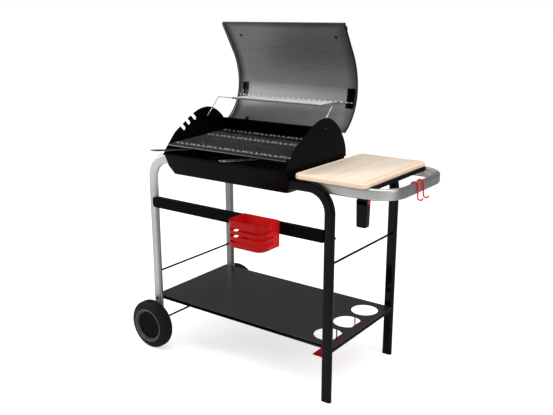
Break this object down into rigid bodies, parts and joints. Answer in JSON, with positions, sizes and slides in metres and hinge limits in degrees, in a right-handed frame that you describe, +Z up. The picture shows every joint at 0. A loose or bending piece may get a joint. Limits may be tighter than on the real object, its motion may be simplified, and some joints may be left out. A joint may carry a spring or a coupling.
{
  "type": "charcoal trolley barbecue",
  "caption": "Charcoal trolley barbecue with a hinged lid, lid-worked warming rack, side table with handle, shelf, basket, hooks and wheels.",
  "frame": {"origin": "centre of the whole object's bounding box on the floor, lid open", "axes": "+Z up, +X towards the side table's handle, wheels at -X, open lid leaning to +Y, cook stands at -Y"},
  "size_m": [1.169, 0.737, 1.3049],
  "materials": {
    "black_coat": "semi-gloss black powder coat",
    "silver_coat": "satin silver-grey powder coat",
    "shelf_coat": "satin black powder coat",
    "red_coat": "satin red powder coat",
    "lid_steel": "brushed sheet inside, dark outside",
    "plated_steel": "zinc plated",
    "black_screw": "blackened steel",
    "chrome_wire": "polished chrome plate",
    "dark_iron": "dark scaled steel",
    "tyre_rubber": "matt black",
    "wheel_plastic": "matt black",
    "black_plastic": "matt black",
    "red_plastic": "glossy red",
    "board_wood": "pale oiled wood"
  },
  "bodies": {
    "trolley": {"front_right_leg": "black_coat", "rear_right_leg": "black_coat", "front_rail": "black_coat", "left_brace": "black_coat", "right_brace": "black_coat", "tray_hangers": "black_coat", "firebox": "black_coat", "rear_panel": "black_coat", "left_cheek": "black_coat", "right_cheek": "black_coat", "grate_ledges": "black_coat", "left_side_rail": "black_coat", "right_side_rail": "black_coat", "table_crossbars": "black_coat", "hinge_fixed_leaves": "black_coat", "axle_spacers": "black_coat", "front_left_leg": "silver_coat", "rear_left_leg": "silver_coat", "side_handle": "silver_coat", "shelf": "shelf_coat", "bottle_tray": "red_coat", "axle_clips": "plated_steel", "table_screws": "plated_steel", "hinge_pins": "plated_steel", "axle": "black_screw", "trolley_screws": "black_screw", "box_screws": "black_screw", "leg_feet": "black_plastic", "cap_catcher": "black_plastic", "bottle_opener": "red_plastic"},
    "lid": {"lid_shell": "lid_steel", "lid_handle": "black_plastic", "lid_handle_posts": "plated_steel", "lid_screws": "black_screw", "hinge_lid_leaves": "black_coat", "left_rack_bracket": "black_coat", "right_rack_bracket": "black_coat"},
    "bail": {"rack_bail": "chrome_wire"},
    "rack": {"warming_rack": "chrome_wire"},
    "front_wheel": {"front_tyre": "tyre_rubber", "front_wheel_hub": "wheel_plastic", "front_hub_disc": "wheel_plastic"},
    "rear_wheel": {"rear_tyre": "tyre_rubber", "rear_wheel_hub": "wheel_plastic", "rear_hub_disc": "wheel_plastic"},
    "cooking_grid": {"cooking_grate": "chrome_wire", "grate_handles": "chrome_wire"},
    "charcoal_grid": {"charcoal_grate": "dark_iron"},
    "board": {"cutting_board": "board_wood"},
    "basket_body": {"basket": "red_coat"},
    "front_hook_body": {"front_hook": "red_coat"},
    "rear_hook_body": {"rear_hook": "red_coat"}
  },
  "joints": [
    {"name": "lid_hinge", "type": "hinge", "parent": "trolley", "child": "lid", "pos_m": [0, 0.1742, 0.9049], "axis": [1, 0, 0], "range_deg": [0, 95]},
    {"name": "bail_swing", "type": "hinge", "parent": "trolley", "child": "bail", "pos_m": [0, 0.0465, 0.938], "axis": [1, 0, 0], "range_deg": [0, 135.5]},
    {"name": "rack_swing", "type": "hinge", "parent": "bail", "child": "rack", "pos_m": [0, 0.1185, 1.008], "axis": [1, 0, 0], "range_deg": [-123.5, 0]},
    {"name": "front_wheel_roll", "type": "hinge", "parent": "trolley", "child": "front_wheel", "pos_m": [-0.48448, -0.2215, 0.1], "axis": [0, 1, 0], "continuous": true},
    {"name": "rear_wheel_roll", "type": "hinge", "parent": "trolley", "child": "rear_wheel", "pos_m": [-0.48448, 0.3445, 0.1], "axis": [0, 1, 0], "continuous": true},
    {"name": "cooking_grate_lift", "type": "slide", "parent": "trolley", "child": "cooking_grid", "axis": [0, 0, -1], "range_m": [-0.06, 0]},
    {"name": "charcoal_grate_lift", "type": "slide", "parent": "trolley", "child": "charcoal_grid", "axis": [0, 0, 1], "range_m": [0, 0.05]},
    {"name": "board_lift", "type": "slide", "parent": "trolley", "child": "board", "axis": [0, 0, 1], "range_m": [0, 0.05]},
    {"name": "basket_lift", "type": "slide", "parent": "trolley", "child": "basket_body", "axis": [0, 0, 1], "range_m": [0, 0.04]},
    {"name": "front_hook_lift", "type": "slide", "parent": "trolley", "child": "front_hook_body", "axis": [0, 0, 1], "range_m": [0, 0.04]},
    {"name": "rear_hook_lift", "type": "slide", "parent": "trolley", "child": "rear_hook_body", "axis": [0, 0, 1], "range_m": [0, 0.04]}
  ],
  "couplings": [
    {"joint": "bail_swing", "follows": "lid_hinge", "ratio": 1.421},
    {"joint": "rack_swing", "follows": "lid_hinge", "ratio": -1.2947}
  ]
}
